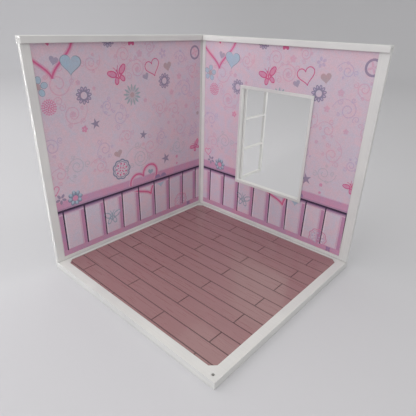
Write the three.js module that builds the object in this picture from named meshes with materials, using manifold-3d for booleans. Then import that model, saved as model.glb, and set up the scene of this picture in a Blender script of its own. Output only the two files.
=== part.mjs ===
// A dolls' house corner room box. A flat base carries an inset plank-patterned floor, a side wall
// and a window wall that meet in one corner. Both walls are papered inside a raised frame and
// capped by rails mitred at the corner, and a pair of casement leaves swings out of the window.
//
// Millimetres, +Z up. The origin is the middle of the base's underside. The open corner of the
// room faces +X and -Y, the window wall is on the +Y side and the side wall on the -X side.

import * as THREE from "three";
import { mergeVertices } from "three/addons/utils/BufferGeometryUtils.js";
import Module from "manifold-3d";

// ---- Driving dimensions ----------------------------------------------------------------------

const WALL_LENGTH = 202; // both wall panels, end to end
const WALL_THICKNESS = 4;
const WALL_HEIGHT = 200; // from the base's top to the top of the cap rails
const BASE_THICKNESS = 6.7;
const FIT_GAP = 0.15; // clearance on each side between pieces that are glued or pushed together

const RAIL = { height: 5.5, overhang: 2, grooveDepth: 3 };

const FLOOR = {
  thickness: 1.2,
  belowRim: 0.4, // how far its top lies under the base's rim
  frontMargin: 8.2, // from the open front edge of the base
  openSideMargin: 8.6, // from the open side edge of the base
  wallMargin: 3.2, // from each wall's inner face
  cornerCut: 4.5,
  plankWidth: 14.17,
  plankLength: 98.8,
  firstJoint: 23.2, // from the floor's side-wall edge to the first end joint of the even rows
  grooveWidth: 0.8,
  grooveDepth: 0.35,
};

const PAPER = { width: 188, thickness: 0.3, bottom: 3.8, top: 195.8, recess: 0.8, behind: 0.1 };
const SIDE_STILE_AT_CORNER = 2.3; // visible frame width between the paper and the corner
const WINDOW_STILE_AT_CORNER = 5.1;

const TONGUE = { length: 30, thickness: 2, depth: 4, inset: 25 };
const CORNER_TONGUE = { height: 20, depth: 2.5, centres: [50, 150] };

const WINDOW = { centreX: 99.6, centreZ: 100.3, width: 81, height: 102 };
const CASING = { sideWidth: 2.5, headWidth: 3, proud: 1.2, lining: 1.2 };
const FRAME = { side: 3.8, head: 3.7, thickness: 3.2, centreZ: 101, clearWidth: 84.4, clearHeight: 106.6 };
const LEAF = {
  thickness: 3,
  stile: 3,
  rail: 3.2,
  muntin: 1.8,
  panes: 3,
  swingGap: 0.3, // between a leaf and the frame round it
  meetingGap: 0.8, // between the two closed leaves
  wallGap: 0.05, // between a leaf and the plane of the frame's back face
};
const PIN = { radius: 0.6, inLeaf: 2.4, leafHole: 0.68, frameHole: 0.72, holeSpare: 0.3, sides: 20 };

const CORNER_HOLE = { radius: 1.2, depth: 3, fromFront: 4.6, fromSide: 5.4, sides: 20 };

// ---- Sizes worked out from them --------------------------------------------------------------

const OVERCUT = 1; // how far a cutting block runs past the surface that it opens
const BASE = { x: WALL_LENGTH + WALL_THICKNESS, y: WALL_LENGTH, z: BASE_THICKNESS };
const ROOM_DEPTH = WALL_LENGTH - WALL_THICKNESS; // from the window wall's inner face to the front
const PANEL_TOP = WALL_HEIGHT - RAIL.height + RAIL.grooveDepth - FIT_GAP;
const HALF_LEAF = LEAF.thickness / 2;

// ---- Solid modelling helpers -----------------------------------------------------------------

const wasm = await Module();
wasm.setup();

/** A manifold solid from a closed three.js geometry. */
function toSolid(geometry) {
  const bare = geometry.clone();
  bare.deleteAttribute("normal");
  bare.deleteAttribute("uv");
  const merged = mergeVertices(bare);
  return new wasm.Manifold(
    new wasm.Mesh({
      numProp: 3,
      vertProperties: merged.attributes.position.array,
      triVerts: new Uint32Array(merged.index.array),
    }),
  );
}

/** A three.js geometry from a manifold solid. */
function toGeometry(solid) {
  const { vertProperties, triVerts } = solid.getMesh();
  const geometry = new THREE.BufferGeometry();
  geometry.setAttribute("position", new THREE.BufferAttribute(vertProperties, 3));
  geometry.setIndex(new THREE.BufferAttribute(triVerts, 1));
  geometry.computeVertexNormals();
  return geometry;
}

/** An upright block between three pairs of limits. */
function block(x, y, z) {
  const size = [x, y, z].map(([low, high]) => high - low);
  const centre = [x, y, z].map(([low, high]) => (high + low) / 2);
  return toSolid(new THREE.BoxGeometry(...size).translate(...centre));
}

/** A prism that stands on a closed outline of [x, y] corners, given anticlockwise. */
function prism(corners, [low, high]) {
  const outline = new THREE.Shape(corners.map(([x, y]) => new THREE.Vector2(x, y)));
  const geometry = new THREE.ExtrudeGeometry(outline, { depth: high - low, bevelEnabled: false });
  return toSolid(geometry.translate(0, 0, low));
}

/** An upright cylinder. */
function post(radius, [x, y], [low, high], sides) {
  const geometry = new THREE.CylinderGeometry(radius, radius, high - low, sides);
  return toSolid(geometry.rotateX(Math.PI / 2).translate(x, y, (low + high) / 2));
}

const span = (centre, size) => [centre - size / 2, centre + size / 2];
const grow = ([low, high], by) => [low - by, high + by];
const join = (first, ...others) => others.reduce((whole, other) => whole.add(other), first);
const cut = (first, ...tools) => tools.reduce((whole, tool) => whole.subtract(tool), first);

// ---- Materials -------------------------------------------------------------------------------

const FINISHES = {
  whitePlastic: { color: 0xe6e6e6, roughness: 0.55, metalness: 0 },
  plankBoard: { color: 0x94706f, roughness: 0.45, metalness: 0 },
  printedPaper: { color: 0xc9aabf, roughness: 0.8, metalness: 0 },
  pinWire: { color: 0xb9bcc0, roughness: 0.35, metalness: 1 },
};

/** A named mesh with a material of its own. */
function piece(name, solid, finish) {
  const mesh = new THREE.Mesh(toGeometry(solid), new THREE.MeshStandardMaterial(FINISHES[finish]));
  mesh.name = name;
  return mesh;
}

// ---- The room's own frame --------------------------------------------------------------------
// Everything below is built from the inner corner of the room: x runs along the window wall,
// y is negative towards the open front, and z is 0 on top of the base.

const ROOM = {
  x: [-WALL_THICKNESS, WALL_LENGTH],
  y: [-ROOM_DEPTH, WALL_THICKNESS],
};
const SIDE_PANEL = { x: [-WALL_THICKNESS, 0], y: ROOM.y };
const WINDOW_PANEL = { x: [FIT_GAP, WALL_LENGTH], y: [0, WALL_THICKNESS] };
const TONGUE_INSET = (WALL_THICKNESS - TONGUE.thickness) / 2;

/** Where the two bottom tongues of a panel start and end along its run. */
function tongueSpans([low, high]) {
  const first = low + TONGUE.inset;
  const last = high - TONGUE.inset;
  return [
    [first, first + TONGUE.length],
    [last - TONGUE.length, last],
  ];
}

const SIDE_TONGUES = tongueSpans(SIDE_PANEL.y);
const WINDOW_TONGUES = tongueSpans(WINDOW_PANEL.x);

const FLOOR_AREA = {
  x: [FLOOR.wallMargin, WALL_LENGTH - FLOOR.openSideMargin],
  y: [-ROOM_DEPTH + FLOOR.frontMargin, -FLOOR.wallMargin],
};

/** The floor's outline, a rectangle with its four corners cut off. */
function floorOutline(margin) {
  const [left, right] = grow(FLOOR_AREA.x, margin);
  const [front, back] = grow(FLOOR_AREA.y, margin);
  const c = FLOOR.cornerCut;
  return [
    [left + c, front],
    [right - c, front],
    [right, front + c],
    [right, back - c],
    [right - c, back],
    [left + c, back],
    [left, back - c],
    [left, front + c],
  ];
}

// ---- Base and floor --------------------------------------------------------------------------

function makeBase() {
  const slab = block(ROOM.x, ROOM.y, [-BASE.z, 0]);
  const recessBottom = -(FLOOR.thickness + FLOOR.belowRim + FIT_GAP);
  const recess = prism(floorOutline(FIT_GAP), [recessBottom, OVERCUT]);
  const slotDepth = [-TONGUE.depth - FIT_GAP, OVERCUT];
  const sideSlotX = grow([-WALL_THICKNESS + TONGUE_INSET, -TONGUE_INSET], FIT_GAP);
  const windowSlotY = grow([TONGUE_INSET, WALL_THICKNESS - TONGUE_INSET], FIT_GAP);
  const sideSlots = SIDE_TONGUES.map((run) => block(sideSlotX, grow(run, FIT_GAP), slotDepth));
  const windowSlots = WINDOW_TONGUES.map((run) => block(grow(run, FIT_GAP), windowSlotY, slotDepth));
  const holeAt = [WALL_LENGTH - CORNER_HOLE.fromSide, -ROOM_DEPTH + CORNER_HOLE.fromFront];
  const hole = post(CORNER_HOLE.radius, holeAt, [-CORNER_HOLE.depth, OVERCUT], CORNER_HOLE.sides);
  return piece("base_plate", cut(slab, recess, ...sideSlots, ...windowSlots, hole), "whitePlastic");
}

function makeFloor() {
  const top = -FLOOR.belowRim;
  const board = prism(floorOutline(0), [top - FLOOR.thickness, top]);
  const grooveZ = [top - FLOOR.grooveDepth, top + OVERCUT];
  const [left, right] = FLOOR_AREA.x;
  const [front, back] = FLOOR_AREA.y;
  const rows = Math.ceil((back - front) / FLOOR.plankWidth);
  const grooves = [];
  for (let row = 0; row < rows; row += 1) {
    const rowBack = back - row * FLOOR.plankWidth;
    const rowFront = Math.max(rowBack - FLOOR.plankWidth, front - OVERCUT);
    if (rowFront > front) {
      grooves.push(block(grow(FLOOR_AREA.x, OVERCUT), span(rowFront, FLOOR.grooveWidth), grooveZ));
    }
    // The end joints of every other row are shifted by half a plank.
    const shift = row % 2 === 0 ? 0 : FLOOR.plankLength / 2;
    for (let x = left + FLOOR.firstJoint + shift; x < right; x += FLOOR.plankLength) {
      const rowSpan = row === 0 ? [rowFront, rowBack + OVERCUT] : [rowFront, rowBack];
      grooves.push(block(span(x, FLOOR.grooveWidth), rowSpan, grooveZ));
    }
  }
  return piece("floor_panel", cut(board, ...grooves), "plankBoard");
}

// ---- Walls -----------------------------------------------------------------------------------

const PAPER_Z = [PAPER.bottom, PAPER.top];
const SIDE_PAPER_Y = [-SIDE_STILE_AT_CORNER - PAPER.width, -SIDE_STILE_AT_CORNER];
const WINDOW_PAPER_X = [WINDOW_STILE_AT_CORNER, WINDOW_STILE_AT_CORNER + PAPER.width];
const PANEL_Z = [FIT_GAP, PANEL_TOP];
const TONGUE_Z = [-TONGUE.depth, 2 * FIT_GAP];
const cornerTongueZ = (centre) => span(centre, CORNER_TONGUE.height);

/** The window's clear opening, seen along y. */
const CLEAR = { x: span(WINDOW.centreX, WINDOW.width), z: span(WINDOW.centreZ, WINDOW.height) };
const LINING = { x: grow(CLEAR.x, CASING.lining), z: grow(CLEAR.z, CASING.lining) };
const WALL_HOLE = { x: grow(LINING.x, FIT_GAP), z: grow(LINING.z, FIT_GAP) };

function makeSideWall() {
  const panel = block(SIDE_PANEL.x, SIDE_PANEL.y, PANEL_Z);
  const tongueX = [-WALL_THICKNESS + TONGUE_INSET, -TONGUE_INSET];
  const tongues = SIDE_TONGUES.map((run) => block(tongueX, run, TONGUE_Z));
  const recess = block([-PAPER.recess, OVERCUT], grow(SIDE_PAPER_Y, FIT_GAP), grow(PAPER_Z, FIT_GAP));
  const socketX = [-CORNER_TONGUE.depth - FIT_GAP, OVERCUT];
  const socketY = grow([TONGUE_INSET, WALL_THICKNESS - TONGUE_INSET], FIT_GAP);
  const sockets = CORNER_TONGUE.centres.map((centre) =>
    block(socketX, socketY, grow(cornerTongueZ(centre), FIT_GAP)),
  );
  return piece("side_wall", cut(join(panel, ...tongues), recess, ...sockets), "whitePlastic");
}

function makeWindowWall() {
  const panel = block(WINDOW_PANEL.x, WINDOW_PANEL.y, PANEL_Z);
  const tongueY = [TONGUE_INSET, WALL_THICKNESS - TONGUE_INSET];
  const tongues = WINDOW_TONGUES.map((run) => block(run, tongueY, TONGUE_Z));
  const endTongues = CORNER_TONGUE.centres.map((centre) =>
    block([-CORNER_TONGUE.depth, 2 * FIT_GAP], tongueY, cornerTongueZ(centre)),
  );
  const recess = block(grow(WINDOW_PAPER_X, FIT_GAP), [-OVERCUT, PAPER.recess], grow(PAPER_Z, FIT_GAP));
  const hole = block(WALL_HOLE.x, grow(WINDOW_PANEL.y, OVERCUT), WALL_HOLE.z);
  return piece("window_wall", cut(join(panel, ...tongues, ...endTongues), recess, hole), "whitePlastic");
}

function makeSidePaper() {
  const back = -PAPER.recess + PAPER.behind;
  return piece("side_wallpaper", block([back, back + PAPER.thickness], SIDE_PAPER_Y, PAPER_Z), "printedPaper");
}

function makeWindowPaper() {
  const back = PAPER.recess - PAPER.behind;
  const thickness = [back - PAPER.thickness, back];
  const sheet = block(WINDOW_PAPER_X, thickness, PAPER_Z);
  const hole = block(WALL_HOLE.x, grow(thickness, OVERCUT), WALL_HOLE.z);
  return piece("window_wallpaper", cut(sheet, hole), "printedPaper");
}

// ---- Cap rails -------------------------------------------------------------------------------

const RAIL_Z = [WALL_HEIGHT - RAIL.height, WALL_HEIGHT];
const RAIL_GROOVE_Z = [RAIL_Z[0] - OVERCUT, RAIL_Z[0] + RAIL.grooveDepth];
const MITRE_GAP = FIT_GAP / 2;

function makeSideRail() {
  const inner = RAIL.overhang;
  const outer = -WALL_THICKNESS - RAIL.overhang;
  const front = -ROOM_DEPTH;
  const plan = [
    [outer, front],
    [inner, front],
    [inner, -inner - MITRE_GAP],
    [outer, -outer - MITRE_GAP],
  ];
  const groove = block(grow(SIDE_PANEL.x, FIT_GAP), grow(SIDE_PANEL.y, 2 * RAIL.overhang), RAIL_GROOVE_Z);
  return piece("side_cap_rail", cut(prism(plan, RAIL_Z), groove), "whitePlastic");
}

function makeWindowRail() {
  const inner = -RAIL.overhang;
  const outer = WALL_THICKNESS + RAIL.overhang;
  const end = WALL_LENGTH;
  const plan = [
    [-inner + MITRE_GAP, inner],
    [end, inner],
    [end, outer],
    [-outer + MITRE_GAP, outer],
  ];
  const grooveX = [-WALL_THICKNESS - FIT_GAP, end + OVERCUT];
  const groove = block(grooveX, grow(WINDOW_PANEL.y, FIT_GAP), RAIL_GROOVE_Z);
  return piece("window_cap_rail", cut(prism(plan, RAIL_Z), groove), "whitePlastic");
}

// ---- Window ----------------------------------------------------------------------------------

const PAPER_FACE_Y = PAPER.recess - PAPER.behind - PAPER.thickness;
const FRAME_Y = [WALL_THICKNESS + FIT_GAP, WALL_THICKNESS + FIT_GAP + FRAME.thickness];
const FRAME_CLEAR = {
  x: span(WINDOW.centreX, FRAME.clearWidth),
  z: span(FRAME.centreZ, FRAME.clearHeight),
};

const HINGE = {
  y: FRAME_Y[0] + HALF_LEAF + LEAF.wallGap,
  left: FRAME_CLEAR.x[0] + LEAF.swingGap + HALF_LEAF,
  right: FRAME_CLEAR.x[1] - LEAF.swingGap - HALF_LEAF,
};
const LEAF_Z = grow(FRAME_CLEAR.z, -LEAF.swingGap);
const LEAF_REACH = (HINGE.right - HINGE.left - LEAF.meetingGap) / 2;

/** The inside trim that frames the opening, with the lining that passes through the wall. */
function makeCasing() {
  const trimX = grow(CLEAR.x, CASING.sideWidth);
  const trimZ = grow(CLEAR.z, CASING.headWidth);
  const trim = block(trimX, [-CASING.proud, PAPER_FACE_Y - FIT_GAP], trimZ);
  const lining = block(LINING.x, [-CASING.proud, WALL_THICKNESS], LINING.z);
  const opening = block(CLEAR.x, grow([-CASING.proud, WALL_THICKNESS], OVERCUT), CLEAR.z);
  return piece("window_casing", cut(join(trim, lining), opening), "whitePlastic");
}

/** The outside frame that the leaves close into, with a pin hole above and below each leaf. */
function makeFrame() {
  const outerX = grow(FRAME_CLEAR.x, FRAME.side);
  const outerZ = grow(FRAME_CLEAR.z, FRAME.head);
  const ring = cut(
    block(outerX, FRAME_Y, outerZ),
    block(FRAME_CLEAR.x, grow(FRAME_Y, OVERCUT), FRAME_CLEAR.z),
  );
  const holes = [HINGE.left, HINGE.right].map((x) =>
    post(PIN.frameHole, [x, HINGE.y], grow(outerZ, OVERCUT), PIN.sides),
  );
  return piece("window_frame", cut(ring, ...holes), "whitePlastic");
}

/** Where the clear panes of a leaf start and end in height. */
function paneSpans() {
  const [low, high] = grow(LEAF_Z, -LEAF.rail);
  const pane = (high - low - (LEAF.panes - 1) * LEAF.muntin) / LEAF.panes;
  return Array.from({ length: LEAF.panes }, (_, i) => {
    const bottom = low + i * (pane + LEAF.muntin);
    return [bottom, bottom + pane];
  });
}

/** A leaf about its own hinge axis, standing open along +y, with a rounded hinge edge. */
function leafSolid() {
  const edge = new THREE.Shape();
  edge.moveTo(HALF_LEAF, 0);
  edge.lineTo(HALF_LEAF, LEAF_REACH);
  edge.lineTo(-HALF_LEAF, LEAF_REACH);
  edge.lineTo(-HALF_LEAF, 0);
  edge.absarc(0, 0, HALF_LEAF, Math.PI, 2 * Math.PI);
  const plate = new THREE.ExtrudeGeometry(edge, {
    depth: LEAF_Z[1] - LEAF_Z[0],
    bevelEnabled: false,
    curveSegments: PIN.sides,
  });
  const across = grow([-HALF_LEAF, HALF_LEAF], OVERCUT);
  const along = [LEAF.stile - HALF_LEAF, LEAF_REACH - LEAF.stile];
  const panes = paneSpans().map((height) => block(across, along, height));
  const holeDepth = PIN.inLeaf + PIN.holeSpare;
  const lowHole = post(PIN.leafHole, [0, 0], [LEAF_Z[0] - OVERCUT, LEAF_Z[0] + holeDepth], PIN.sides);
  const highHole = post(PIN.leafHole, [0, 0], [LEAF_Z[1] - holeDepth, LEAF_Z[1] + OVERCUT], PIN.sides);
  return cut(toSolid(plate.translate(0, 0, LEAF_Z[0])), ...panes, lowHole, highHole);
}

/** One leaf with the two pins that it turns on, placed at its hinge. */
function makeCasement(side) {
  const casement = new THREE.Group();
  const [frameLow, frameHigh] = grow(FRAME_CLEAR.z, FRAME.head);
  const lowPin = [frameLow + FIT_GAP, LEAF_Z[0] + PIN.inLeaf];
  const highPin = [LEAF_Z[1] - PIN.inLeaf, frameHigh - FIT_GAP];
  casement.add(
    piece(`${side}_casement_leaf`, leafSolid(), "whitePlastic"),
    piece(`${side}_lower_hinge_pin`, post(PIN.radius, [0, 0], lowPin, PIN.sides), "pinWire"),
    piece(`${side}_upper_hinge_pin`, post(PIN.radius, [0, 0], highPin, PIN.sides), "pinWire"),
  );
  casement.position.set(HINGE[side], HINGE.y, 0);
  return casement;
}

// ---- Assembly --------------------------------------------------------------------------------

const room = new THREE.Group();
room.add(
  makeBase(),
  makeFloor(),
  makeSideWall(),
  makeWindowWall(),
  makeSidePaper(),
  makeWindowPaper(),
  makeSideRail(),
  makeWindowRail(),
  makeCasing(),
  makeFrame(),
  makeCasement("left"),
  makeCasement("right"),
);
room.position.set(-BASE.x / 2 + WALL_THICKNESS, BASE.y / 2 - WALL_THICKNESS, BASE.z);

const roomBox = new THREE.Group();
roomBox.add(room);

export default roomBox;
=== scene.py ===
"""Looks for a dolls' house corner room box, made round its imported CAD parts.

The box is a printed white base with a scored plank floor let into it, a side wall and a window
wall papered inside raised frames, mitred cap rails, and a casement window whose two leaves stand
open. Everything is in metres, +Z up, in the CAD model's frame. Sizes given in millimetres say so.
"""

from __future__ import annotations

import logging
import math
import random
from dataclasses import dataclass, field
from enum import Enum
from typing import Any, ClassVar, Iterable, Sequence

import bmesh
import bpy
from mathutils import Matrix, Vector
from mathutils.geometry import delaunay_2d_cdt

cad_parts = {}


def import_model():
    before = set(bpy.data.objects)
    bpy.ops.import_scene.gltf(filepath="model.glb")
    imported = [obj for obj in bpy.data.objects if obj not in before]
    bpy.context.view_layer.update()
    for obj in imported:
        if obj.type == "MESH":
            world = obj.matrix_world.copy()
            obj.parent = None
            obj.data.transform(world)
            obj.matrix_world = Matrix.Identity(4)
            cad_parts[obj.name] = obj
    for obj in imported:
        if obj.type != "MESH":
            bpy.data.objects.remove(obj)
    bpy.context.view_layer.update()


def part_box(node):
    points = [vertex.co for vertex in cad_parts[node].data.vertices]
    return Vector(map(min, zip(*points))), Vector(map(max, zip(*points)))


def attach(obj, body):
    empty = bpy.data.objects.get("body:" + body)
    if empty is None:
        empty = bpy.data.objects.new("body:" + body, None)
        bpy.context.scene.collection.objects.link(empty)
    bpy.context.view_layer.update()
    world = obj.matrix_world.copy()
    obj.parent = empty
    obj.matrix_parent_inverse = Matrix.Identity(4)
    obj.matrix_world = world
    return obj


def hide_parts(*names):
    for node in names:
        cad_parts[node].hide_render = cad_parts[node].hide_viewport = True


LOG = logging.getLogger("room_box")
MM = 0.001
SMOOTH_DEGREES = 35.0  # edges of a piece flatter than this are shaded smooth
NOISE_SPAN = (0.3, 0.7)  # where nearly all of a noise pattern's values lie

Point = tuple[float, float]
Outline = list[Point]


# ---- Small tools -----------------------------------------------------------------------------


def linear(hex_colour: str) -> tuple[float, float, float, float]:
    """Turns an sRGB hex colour into the linear colour that shaders use.

    Args:
        hex_colour: Six hex digits after a hash.

    Returns:
        Linear red, green and blue, and an alpha of one.
    """
    parts = [int(hex_colour[i : i + 2], 16) / 255 for i in (1, 3, 5)]
    red, green, blue = (c / 12.92 if c <= 0.04045 else ((c + 0.055) / 1.055) ** 2.4 for c in parts)
    return red, green, blue, 1.0


def add_node(
    tree: bpy.types.NodeTree,
    kind: str,
    settings: dict[str, Any] | None = None,
    inputs: dict[str | int, Any] | None = None,
) -> bpy.types.Node:
    """Adds a node with its settings, values and links.

    Args:
        tree: The material's node tree.
        kind: The node's type name.
        settings: Properties of the node by name.
        inputs: Values, or output sockets to link from, by input name or number.

    Returns:
        The new node.
    """
    node = tree.nodes.new(kind)
    for name, value in (settings or {}).items():
        setattr(node, name, value)
    for key, value in (inputs or {}).items():
        if isinstance(value, bpy.types.NodeSocket):
            tree.links.new(value, node.inputs[key])
        else:
            node.inputs[key].default_value = value
    return node


def set_ramp(node: bpy.types.Node, stops: Sequence[tuple[float, str]]) -> bpy.types.Node:
    """Sets the stops of a colour ramp.

    Args:
        node: The colour ramp.
        stops: Position and sRGB hex colour of each stop, in order.

    Returns:
        The same node.
    """
    ramp = node.color_ramp
    while len(ramp.elements) > len(stops):
        ramp.elements.remove(ramp.elements[-1])
    while len(ramp.elements) < len(stops):
        ramp.elements.new(1.0)
    for element, (position, colour) in zip(ramp.elements, stops):
        element.position = position
        element.color = linear(colour)
    return node


def new_material(name: str) -> tuple[bpy.types.Material, bpy.types.NodeTree]:
    """Makes an empty node material.

    Args:
        name: The real material and how its surface was made.

    Returns:
        The material and its node tree.
    """
    material = bpy.data.materials.new(name)
    material.use_nodes = True
    material.node_tree.nodes.clear()
    return material, material.node_tree


def add_object(
    name: str, mesh: bpy.types.Mesh, material: bpy.types.Material, smooth_degrees: float | None = None
) -> bpy.types.Object:
    """Puts a mesh in the scene with its material.

    Args:
        name: The piece's name.
        mesh: Its mesh, in the CAD model's frame.
        material: Its only material.
        smooth_degrees: Edges flatter than this are shaded smooth. None keeps every face flat.

    Returns:
        The new object.
    """
    mesh.name = name
    mesh.materials.append(material)
    if smooth_degrees is not None:
        mesh.polygons.foreach_set("use_smooth", [True] * len(mesh.polygons))
        mesh.set_sharp_from_angle(angle=math.radians(smooth_degrees))
    piece = bpy.data.objects.new(name, mesh)
    bpy.context.scene.collection.objects.link(piece)
    return piece


def hand_over(piece: bpy.types.Object, body: str, nodes: Iterable[str]) -> None:
    """Ties a finished piece to its CAD body and reports it.

    Args:
        piece: The finished piece.
        body: The CAD body that it rides on.
        nodes: The CAD nodes that it stands for.
    """
    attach(piece, body)
    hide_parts(*nodes)
    LOG.info("%s: %d faces, rides on %s", piece.name, len(piece.data.polygons), body)


# ---- Finishes --------------------------------------------------------------------------------


class LineRun(Enum):
    """Which way the printer's lines run on a part."""

    ALONG_X = (1.0, 0.05, 0.05)
    ALONG_Y = (0.05, 1.0, 0.05)
    UPRIGHT = (0.05, 0.05, 1.0)


@dataclass(frozen=True)
class FusedFilament:
    """White PLA laid down in fused lines.

    To the eye it is a soft, slightly milky white. Fine lines run along each part, and its creases
    are painted a little greyer, as painted shade from an ambient-occlusion mask.
    """

    run: LineRun
    colour: str = "#E6E6E3"
    shade: str = "#D9D9D8"
    # The crease colour and the crease distance and depth fields paint shade into creases and inner
    # corners.
    crease_shade: str = "#BDBBB8"
    line_mm: float = 1.1  # real lines are 0.4 mm wide, drawn coarser so that they show
    blotch_mm: float = 38.0
    crease_shade_mm: float = 2.5
    crease_shade_depth: float = 0.32
    line_scale: float = 0.012  # the pattern's scale along a line, as a share of that across it
    line_tone: tuple[float, float] = (0.45, 0.28)  # the lines' share of the tone, and the rest
    bump_mm: float = 0.12
    bump_strength: float = 0.22
    roughness: tuple[float, float] = (0.42, 0.56)
    ior: float = 1.46

    def make(self) -> bpy.types.Material:
        """Builds the material.

        Returns:
            The finished material.
        """
        material, tree = new_material(f"White_PLA_fused_lines_{self.run.name.lower()}")
        place = add_node(tree, "ShaderNodeTexCoord").outputs["Object"]
        across = 1 / (self.line_mm * MM)
        along = across * self.line_scale
        stretch = tuple(along if share == 1.0 else across for share in self.run.value)
        lined = add_node(tree, "ShaderNodeMapping", None, {"Vector": place, "Scale": stretch})
        lines = add_node(
            tree, "ShaderNodeTexNoise", None,
            {"Vector": lined.outputs[0], "Scale": 1.0, "Detail": 2.0, "Roughness": 0.55},
        )
        blotch = add_node(
            tree, "ShaderNodeTexNoise", None,
            {"Vector": place, "Scale": 1 / (self.blotch_mm * MM), "Detail": 3.0, "Roughness": 0.5},
        )
        tone = add_node(
            tree, "ShaderNodeMath", {"operation": "MULTIPLY_ADD"},
            {0: lines.outputs["Fac"], 1: self.line_tone[0], 2: self.line_tone[1]},
        )
        toned = add_node(
            tree, "ShaderNodeMath", {"operation": "MULTIPLY"},
            {0: tone.outputs[0], 1: blotch.outputs["Fac"]},
        )
        body = set_ramp(
            add_node(tree, "ShaderNodeValToRGB", None, {"Fac": toned.outputs[0]}),
            [(0.12, self.shade), (0.38, self.colour)],
        )
        # Painted shade: an ambient-occlusion mask darkens the plastic in creases and inner corners.
        crease_shade = add_node(
            tree, "ShaderNodeAmbientOcclusion", {"samples": 6, "only_local": False},
            {"Distance": self.crease_shade_mm * MM},
        )
        painted_crease_shade = set_ramp(
            add_node(tree, "ShaderNodeValToRGB", None, {"Fac": crease_shade.outputs["AO"]}),
            [(0.30, self.crease_shade), (0.85, "#FFFFFF")],
        )
        colour = add_node(
            tree, "ShaderNodeMix", {"data_type": "RGBA", "blend_type": "MULTIPLY"},
            {"Factor": self.crease_shade_depth, 6: body.outputs["Color"], 7: painted_crease_shade.outputs["Color"]},
        )
        gloss = add_node(
            tree, "ShaderNodeMapRange", None,
            {
                "Value": blotch.outputs["Fac"], "From Min": NOISE_SPAN[0], "From Max": NOISE_SPAN[1],
                "To Min": self.roughness[0], "To Max": self.roughness[1],
            },
        )
        bump = add_node(
            tree, "ShaderNodeBump", None,
            {
                "Height": lines.outputs["Fac"], "Strength": self.bump_strength,
                "Distance": self.bump_mm * MM,
            },
        )
        shader = add_node(
            tree, "ShaderNodeBsdfPrincipled", None,
            {
                "Base Color": colour.outputs[2], "Roughness": gloss.outputs[0],
                "Normal": bump.outputs[0], "IOR": self.ior,
            },
        )
        add_node(tree, "ShaderNodeOutputMaterial", None, {"Surface": shader.outputs[0]})
        return material


@dataclass(frozen=True)
class ScoredBoard:
    """Hardboard painted rosy brown and scored into planks.

    To the eye each plank has a tone of its own, with a faint grain along it, and the scored
    lines between planks are darker. A thin clear lacquer lets the walls show in it faintly.
    """

    light: str = "#B48A8A"
    dark: str = "#9F7778"
    grain: str = "#8D6769"
    score: str = "#543A3C"
    grain_mm: float = 1.0
    grain_length_mm: float = 30.0
    bump_mm: float = 0.1
    bump_strength: float = 0.25
    roughness: tuple[float, float] = (0.24, 0.38)
    ior: float = 1.5
    lacquer: float = 0.75
    lacquer_roughness: float = 0.09

    def make(self) -> bpy.types.Material:
        """Builds the material.

        Returns:
            The finished material.
        """
        material, tree = new_material("Hardboard_painted_and_scored")
        place = add_node(tree, "ShaderNodeTexCoord").outputs["Object"]
        tone = add_node(tree, "ShaderNodeAttribute", {"attribute_name": PlankFloor.TONE})
        scored = add_node(tree, "ShaderNodeAttribute", {"attribute_name": PlankFloor.SCORE})
        shift = add_node(
            tree, "ShaderNodeVectorMath", {"operation": "ADD"}, {0: place, 1: tone.outputs["Vector"]}
        )
        long, across = 1 / (self.grain_length_mm * MM), 1 / (self.grain_mm * MM)
        stretched = add_node(
            tree, "ShaderNodeMapping", None,
            {"Vector": shift.outputs[0], "Scale": (long, across, across)},
        )
        grain = add_node(
            tree, "ShaderNodeTexNoise", None,
            {
                "Vector": stretched.outputs[0], "Scale": 1.0, "Detail": 4.0, "Roughness": 0.6,
                "Distortion": 0.4,
            },
        )
        plank = set_ramp(
            add_node(tree, "ShaderNodeValToRGB", None, {"Fac": tone.outputs["Fac"]}),
            [(0.0, self.dark), (1.0, self.light)],
        )
        veined = add_node(
            tree, "ShaderNodeMapRange", None,
            {"Value": grain.outputs["Fac"], "From Min": 0.52, "From Max": 0.78, "To Max": 0.5},
        )
        wood = add_node(
            tree, "ShaderNodeMix", {"data_type": "RGBA"},
            {"Factor": veined.outputs[0], 6: plank.outputs["Color"], 7: linear(self.grain)},
        )
        colour = add_node(
            tree, "ShaderNodeMix", {"data_type": "RGBA"},
            {"Factor": scored.outputs["Fac"], 6: wood.outputs[2], 7: linear(self.score)},
        )
        gloss = add_node(
            tree, "ShaderNodeMapRange", None,
            {
                "Value": grain.outputs["Fac"], "From Min": NOISE_SPAN[0], "From Max": NOISE_SPAN[1],
                "To Min": self.roughness[0], "To Max": self.roughness[1],
            },
        )
        bump = add_node(
            tree, "ShaderNodeBump", None,
            {
                "Height": grain.outputs["Fac"], "Strength": self.bump_strength,
                "Distance": self.bump_mm * MM,
            },
        )
        shader = add_node(
            tree, "ShaderNodeBsdfPrincipled", None,
            {
                "Base Color": colour.outputs[2], "Roughness": gloss.outputs[0],
                "Normal": bump.outputs[0], "IOR": self.ior, "Coat Weight": self.lacquer,
                "Coat Roughness": self.lacquer_roughness,
            },
        )
        add_node(tree, "ShaderNodeOutputMaterial", None, {"Surface": shader.outputs[0]})
        return material


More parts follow.
